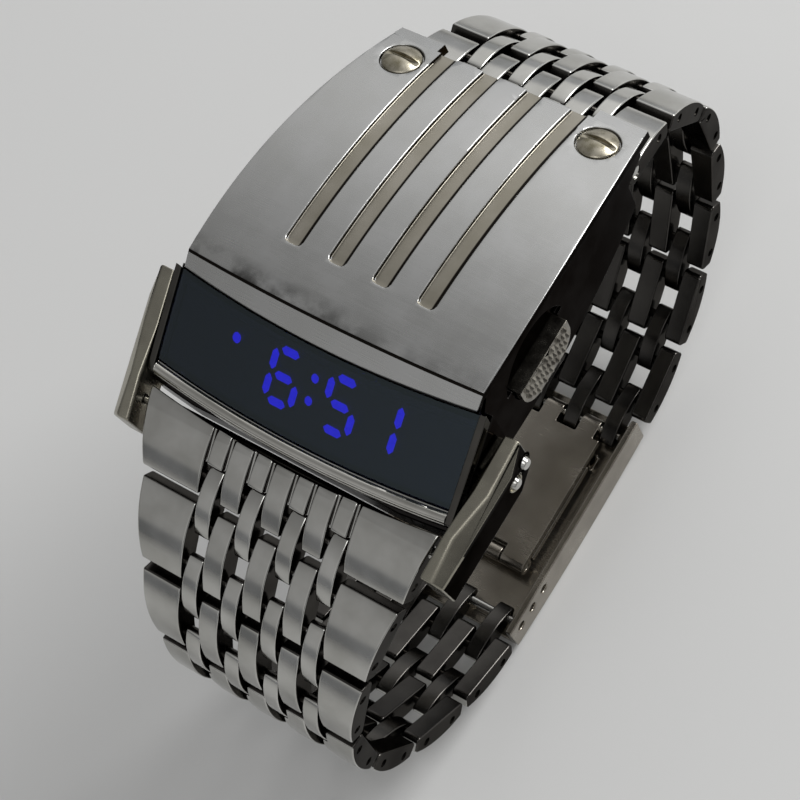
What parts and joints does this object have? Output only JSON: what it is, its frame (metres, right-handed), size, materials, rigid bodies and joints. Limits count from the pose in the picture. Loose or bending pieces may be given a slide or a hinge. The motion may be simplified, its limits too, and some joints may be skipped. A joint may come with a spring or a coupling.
{
  "type": "led wristwatch",
  "caption": "Hooded digital wristwatch with a bowed, sloping light display, side push button, side guards and a tapering link bracelet on a fold-over clasp.",
  "frame": {"origin": "middle of the case back's outer face", "axes": "+Z out of the dial through the hood, +Y towards 12 o'clock, behind the hood, +X towards 3 o'clock, where the push button is"},
  "size_m": [0.0462, 0.081, 0.066],
  "materials": {
    "hood": "warm gunmetal, fine brushing across the dial",
    "case": "dark gunmetal, polished",
    "guards": "warm grey, satin",
    "links": "polished, warm gunmetal",
    "connectors": "polished, warm gunmetal",
    "pins": "drawn steel",
    "window": "dark violet filter glass",
    "seals": "soft black",
    "bezel": "bright satin",
    "screws": "dull nickelled brass",
    "back": "satin",
    "board": "green solder mask",
    "led_board": "matt black",
    "led": "lit blue-violet",
    "holder": "moulded, off-white",
    "cells": "nickel plated",
    "clip": "phosphor bronze strip",
    "button": "knurled, satin",
    "clasp": "satin, polished edges"
  },
  "bodies": {
    "case": {"case_body": "case", "hood": "hood", "hood_screws": "screws", "display_window": "window", "window_gasket": "seals", "bezel_frame": "bezel", "guard_left": "guards", "guard_right": "guards", "guard_screws": "pins", "led_board": "led_board", "led_segments": "led", "circuit_board": "board", "module_holder": "holder", "coin_cells": "cells", "battery_clip": "clip", "case_back": "back", "case_back_gasket": "seals", "case_back_screws": "pins", "button_spring": "pins", "spring_bar_6": "pins", "spring_bar_12": "pins"},
    "button": {"push_button": "button", "button_clip": "pins"},
    "end_link_6": {"end_link_6": "links"},
    "connectors_6_1": {"connectors_6_1": "connectors"},
    "row_6_2": {"row_6_2": "links"},
    "connectors_6_2": {"connectors_6_2": "connectors"},
    "row_6_3": {"row_6_3": "links"},
    "connectors_6_3": {"connectors_6_3": "connectors"},
    "row_6_4": {"row_6_4": "links"},
    "connectors_6_4": {"connectors_6_4": "connectors"},
    "row_6_5": {"row_6_5": "links"},
    "connectors_6_5": {"connectors_6_5": "connectors"},
    "row_6_6": {"row_6_6": "links"},
    "connectors_6_6": {"connectors_6_6": "connectors"},
    "row_6_7": {"row_6_7": "links"},
    "connectors_6_7": {"connectors_6_7": "connectors", "clasp_spring_bar": "pins"},
    "end_link_12": {"end_link_12": "links"},
    "connectors_12_1": {"connectors_12_1": "connectors"},
    "row_12_2": {"row_12_2": "links"},
    "connectors_12_2": {"connectors_12_2": "connectors"},
    "row_12_3": {"row_12_3": "links"},
    "connectors_12_3": {"connectors_12_3": "connectors"},
    "row_12_4": {"row_12_4": "links"},
    "connectors_12_4": {"connectors_12_4": "connectors"},
    "row_12_5": {"row_12_5": "links"},
    "connectors_12_5": {"connectors_12_5": "connectors"},
    "row_12_6": {"row_12_6": "links"},
    "connectors_12_6": {"connectors_12_6": "connectors"},
    "row_12_7": {"row_12_7": "links"},
    "connectors_12_7": {"connectors_12_7": "connectors"},
    "inner_blade": {"clasp_inner_blade": "clasp", "clasp_fold_pin": "pins", "clasp_end_pin": "pins"},
    "middle_blade": {"clasp_middle_blade": "clasp"},
    "cover": {"clasp_cover": "clasp", "clasp_cover_pin": "pins"}
  },
  "joints": [
    {"name": "hinge_6_1", "type": "hinge", "parent": "case", "child": "end_link_6", "pos_m": [0, -0.02474, 0.003], "axis": [-1, 0, 0], "range_deg": [0, 8]},
    {"name": "hinge_6_2", "type": "hinge", "parent": "end_link_6", "child": "connectors_6_1", "pos_m": [0, -0.02839, 0.00054], "axis": [-1, 0, 0], "range_deg": [0, 4]},
    {"name": "hinge_6_3", "type": "hinge", "parent": "connectors_6_1", "child": "row_6_2", "pos_m": [0, -0.03249, -0.00266], "axis": [-1, 0, 0], "range_deg": [0, 4]},
    {"name": "bracelet_flex", "type": "hinge", "parent": "row_6_2", "child": "connectors_6_2", "pos_m": [0, -0.03642, -0.00621], "axis": [-1, 0, 0], "range_deg": [0, 10]},
    {"name": "hinge_6_5", "type": "hinge", "parent": "connectors_6_2", "child": "row_6_3", "pos_m": [0, -0.03963, -0.01031], "axis": [-1, 0, 0], "range_deg": [0, 10]},
    {"name": "hinge_6_6", "type": "hinge", "parent": "row_6_3", "child": "connectors_6_3", "pos_m": [0, -0.04211, -0.01499], "axis": [-1, 0, 0], "range_deg": [0, 13]},
    {"name": "hinge_6_7", "type": "hinge", "parent": "connectors_6_3", "child": "row_6_4", "pos_m": [0, -0.04346, -0.02001], "axis": [-1, 0, 0], "range_deg": [0, 13]},
    {"name": "hinge_6_8", "type": "hinge", "parent": "row_6_4", "child": "connectors_6_4", "pos_m": [0, -0.04364, -0.02531], "axis": [-1, 0, 0], "range_deg": [0, 13]},
    {"name": "hinge_6_9", "type": "hinge", "parent": "connectors_6_4", "child": "row_6_5", "pos_m": [0, -0.04265, -0.03041], "axis": [-1, 0, 0], "range_deg": [0, 13]},
    {"name": "hinge_6_10", "type": "hinge", "parent": "row_6_5", "child": "connectors_6_5", "pos_m": [0, -0.0405, -0.03525], "axis": [-1, 0, 0], "range_deg": [0, 12]},
    {"name": "hinge_6_11", "type": "hinge", "parent": "connectors_6_5", "child": "row_6_6", "pos_m": [0, -0.03744, -0.03946], "axis": [-1, 0, 0], "range_deg": [0, 12]},
    {"name": "hinge_6_12", "type": "hinge", "parent": "row_6_6", "child": "connectors_6_6", "pos_m": [0, -0.0335, -0.043], "axis": [-1, 0, 0], "range_deg": [0, 10]},
    {"name": "hinge_6_13", "type": "hinge", "parent": "connectors_6_6", "child": "row_6_7", "pos_m": [0, -0.02909, -0.04576], "axis": [-1, 0, 0], "range_deg": [0, 10]},
    {"name": "hinge_6_14", "type": "hinge", "parent": "row_6_7", "child": "connectors_6_7", "pos_m": [0, -0.02418, -0.04775], "axis": [-1, 0, 0], "range_deg": [0, 10]},
    {"name": "hinge_12_1", "type": "hinge", "parent": "case", "child": "end_link_12", "pos_m": [0, 0.02, 0.0026], "axis": [1, 0, 0], "range_deg": [0, 8]},
    {"name": "hinge_12_2", "type": "hinge", "parent": "end_link_12", "child": "connectors_12_1", "pos_m": [0, 0.02504, 0.00096], "axis": [1, 0, 0], "range_deg": [0, 18]},
    {"name": "hinge_12_3", "type": "hinge", "parent": "connectors_12_1", "child": "row_12_2", "pos_m": [0, 0.02925, -0.00209], "axis": [1, 0, 0], "range_deg": [0, 18]},
    {"name": "hinge_12_4", "type": "hinge", "parent": "row_12_2", "child": "connectors_12_2", "pos_m": [0, 0.03236, -0.00638], "axis": [1, 0, 0], "range_deg": [0, 15]},
    {"name": "hinge_12_5", "type": "hinge", "parent": "connectors_12_2", "child": "row_12_3", "pos_m": [0, 0.03423, -0.01124], "axis": [1, 0, 0], "range_deg": [0, 15]},
    {"name": "hinge_12_6", "type": "hinge", "parent": "row_12_3", "child": "connectors_12_3", "pos_m": [0, 0.03478, -0.01651], "axis": [1, 0, 0], "range_deg": [0, 9]},
    {"name": "hinge_12_7", "type": "hinge", "parent": "connectors_12_3", "child": "row_12_4", "pos_m": [0, 0.03451, -0.0217], "axis": [1, 0, 0], "range_deg": [0, 9]},
    {"name": "hinge_12_8", "type": "hinge", "parent": "row_12_4", "child": "connectors_12_4", "pos_m": [0, 0.03341, -0.02688], "axis": [1, 0, 0], "range_deg": [0, 9]},
    {"name": "hinge_12_9", "type": "hinge", "parent": "connectors_12_4", "child": "row_12_5", "pos_m": [0, 0.03154, -0.03174], "axis": [1, 0, 0], "range_deg": [0, 9]},
    {"name": "hinge_12_10", "type": "hinge", "parent": "row_12_5", "child": "connectors_12_5", "pos_m": [0, 0.02889, -0.03633], "axis": [1, 0, 0], "range_deg": [0, 10]},
    {"name": "hinge_12_11", "type": "hinge", "parent": "connectors_12_5", "child": "row_12_6", "pos_m": [0, 0.02555, -0.04031], "axis": [1, 0, 0], "range_deg": [0, 10]},
    {"name": "hinge_12_12", "type": "hinge", "parent": "row_12_6", "child": "connectors_12_6", "pos_m": [0, 0.02149, -0.04372], "axis": [1, 0, 0], "range_deg": [0, 10]},
    {"name": "hinge_12_13", "type": "hinge", "parent": "connectors_12_6", "child": "row_12_7", "pos_m": [0, 0.01699, -0.04632], "axis": [1, 0, 0], "range_deg": [0, 10]},
    {"name": "hinge_12_14", "type": "hinge", "parent": "row_12_7", "child": "connectors_12_7", "pos_m": [0, 0.01201, -0.04813], "axis": [1, 0, 0], "range_deg": [0, 10]},
    {"name": "hinge_12_15", "type": "hinge", "parent": "connectors_12_7", "child": "inner_blade", "pos_m": [0, 0.00689, -0.04904], "axis": [1, 0, 0], "range_deg": [0, 10]},
    {"name": "clasp_fold", "type": "hinge", "parent": "inner_blade", "child": "middle_blade", "pos_m": [0, -0.01251, -0.04904], "axis": [-1, 0, 0], "range_deg": [0, 150]},
    {"name": "cover_swing", "type": "hinge", "parent": "middle_blade", "child": "cover", "pos_m": [0, 0.00309, -0.04985], "axis": [-1, 0, 0], "range_deg": [-150, 0]},
    {"name": "button_press", "type": "slide", "parent": "case", "child": "button", "axis": [-1, 0, 0], "range_m": [0, 0.0008], "stiffness_N_per_m": 300, "springref_m": -0.0008, "deforming": ["button_spring"]}
  ],
  "couplings": [
    {"joint": "hinge_6_1", "follows": "bracelet_flex", "ratio": 0.8},
    {"joint": "hinge_6_2", "follows": "bracelet_flex", "ratio": 0.4},
    {"joint": "hinge_6_3", "follows": "bracelet_flex", "ratio": 0.4},
    {"joint": "hinge_6_5", "follows": "bracelet_flex", "ratio": 1},
    {"joint": "hinge_6_6", "follows": "bracelet_flex", "ratio": 1.3},
    {"joint": "hinge_6_7", "follows": "bracelet_flex", "ratio": 1.3},
    {"joint": "hinge_6_8", "follows": "bracelet_flex", "ratio": 1.3},
    {"joint": "hinge_6_9", "follows": "bracelet_flex", "ratio": 1.3},
    {"joint": "hinge_6_10", "follows": "bracelet_flex", "ratio": 1.2},
    {"joint": "hinge_6_11", "follows": "bracelet_flex", "ratio": 1.2},
    {"joint": "hinge_6_12", "follows": "bracelet_flex", "ratio": 1},
    {"joint": "hinge_6_13", "follows": "bracelet_flex", "ratio": 1},
    {"joint": "hinge_6_14", "follows": "bracelet_flex", "ratio": 1},
    {"joint": "hinge_12_1", "follows": "bracelet_flex", "ratio": 0.8},
    {"joint": "hinge_12_2", "follows": "bracelet_flex", "ratio": 1.8},
    {"joint": "hinge_12_3", "follows": "bracelet_flex", "ratio": 1.8},
    {"joint": "hinge_12_4", "follows": "bracelet_flex", "ratio": 1.5},
    {"joint": "hinge_12_5", "follows": "bracelet_flex", "ratio": 1.5},
    {"joint": "hinge_12_6", "follows": "bracelet_flex", "ratio": 0.9},
    {"joint": "hinge_12_7", "follows": "bracelet_flex", "ratio": 0.9},
    {"joint": "hinge_12_8", "follows": "bracelet_flex", "ratio": 0.9},
    {"joint": "hinge_12_9", "follows": "bracelet_flex", "ratio": 0.9},
    {"joint": "hinge_12_10", "follows": "bracelet_flex", "ratio": 1},
    {"joint": "hinge_12_11", "follows": "bracelet_flex", "ratio": 1},
    {"joint": "hinge_12_12", "follows": "bracelet_flex", "ratio": 1},
    {"joint": "hinge_12_13", "follows": "bracelet_flex", "ratio": 1},
    {"joint": "hinge_12_14", "follows": "bracelet_flex", "ratio": 1},
    {"joint": "hinge_12_15", "follows": "bracelet_flex", "ratio": 1},
    {"joint": "cover_swing", "follows": "clasp_fold", "ratio": -1}
  ]
}
